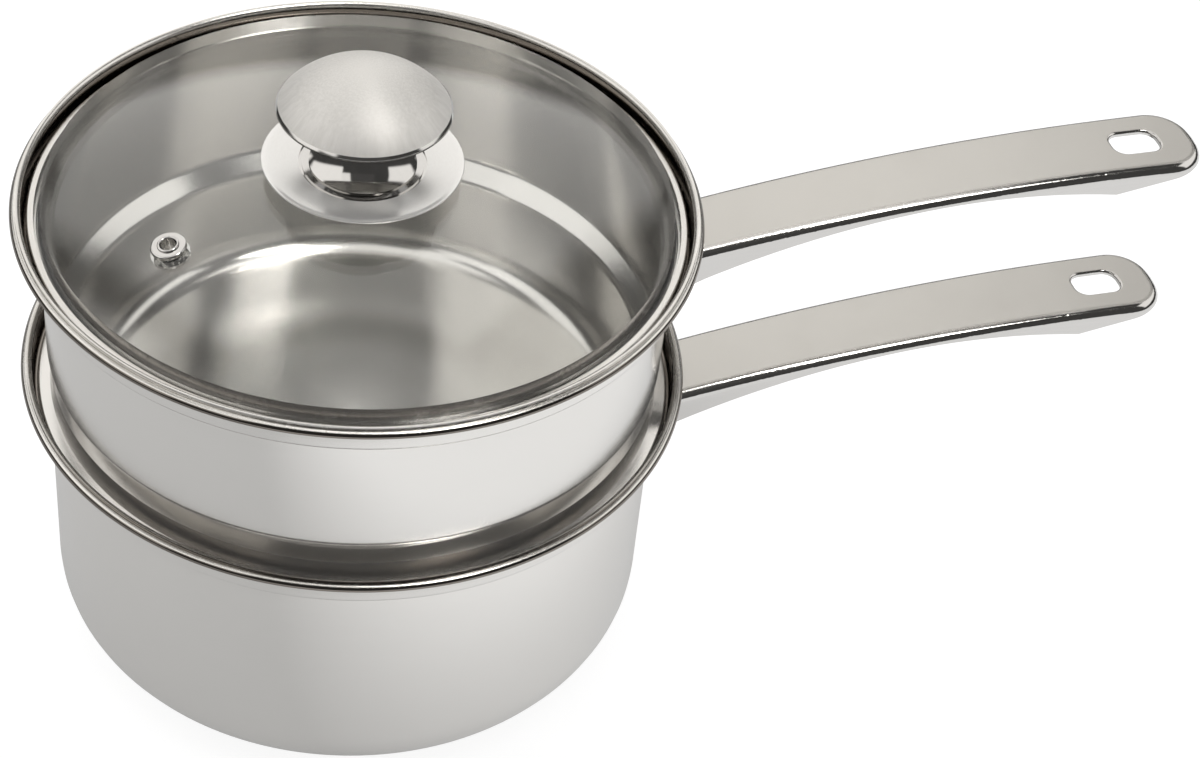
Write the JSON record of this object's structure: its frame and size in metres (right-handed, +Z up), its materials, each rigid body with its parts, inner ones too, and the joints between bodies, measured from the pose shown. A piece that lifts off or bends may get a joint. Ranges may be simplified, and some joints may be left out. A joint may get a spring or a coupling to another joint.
{
  "type": "double boiler",
  "caption": "Double boiler with a straight-walled lower saucepan, a nested insert pan, a domed glass lid in a steel band and long flat handles with hanging slots.",
  "frame": {"origin": "centre of the base's underside, on the pans' axis", "axes": "+Z up along the pans' axis, +X along both handles towards their tips"},
  "size_m": [0.354, 0.19, 0.1908],
  "materials": {
    "satin_steel": "satin stainless steel with polished edges",
    "handle_steel": "satin stainless steel, bright pressed skirt",
    "knob_steel": "satin dome, polished neck",
    "bright_steel": "polished stainless steel",
    "core_aluminium": "plain rolled",
    "lid_glass": "clear tempered glass",
    "silicone": "translucent grey silicone"
  },
  "bodies": {
    "lower_saucepan": {"lower_pan_body": "satin_steel", "lower_base_core": "core_aluminium", "lower_base_cap": "satin_steel", "lower_handle": "handle_steel", "lower_handle_bracket": "satin_steel"},
    "insert_pan": {"upper_pan_body": "satin_steel", "upper_handle": "handle_steel", "upper_handle_bracket": "satin_steel"},
    "lid": {"lid_glass": "lid_glass", "lid_rim_band": "bright_steel", "vent_eyelet": "bright_steel", "vent_washer": "bright_steel", "knob_cap": "knob_steel", "knob_body": "knob_steel", "knob_base": "knob_steel", "knob_boss": "bright_steel", "knob_gasket_upper": "silicone", "knob_gasket_lower": "silicone", "knob_washer": "bright_steel", "knob_lock_washer": "bright_steel", "knob_screw": "bright_steel"}
  },
  "joints": [
    {"name": "insert_lift", "type": "slide", "parent": "lower_saucepan", "child": "insert_pan", "axis": [0, 0, 1], "range_m": [0, 0.1]},
    {"name": "lid_lift", "type": "slide", "parent": "insert_pan", "child": "lid", "axis": [0, 0, 1], "range_m": [0, 0.1]}
  ]
}
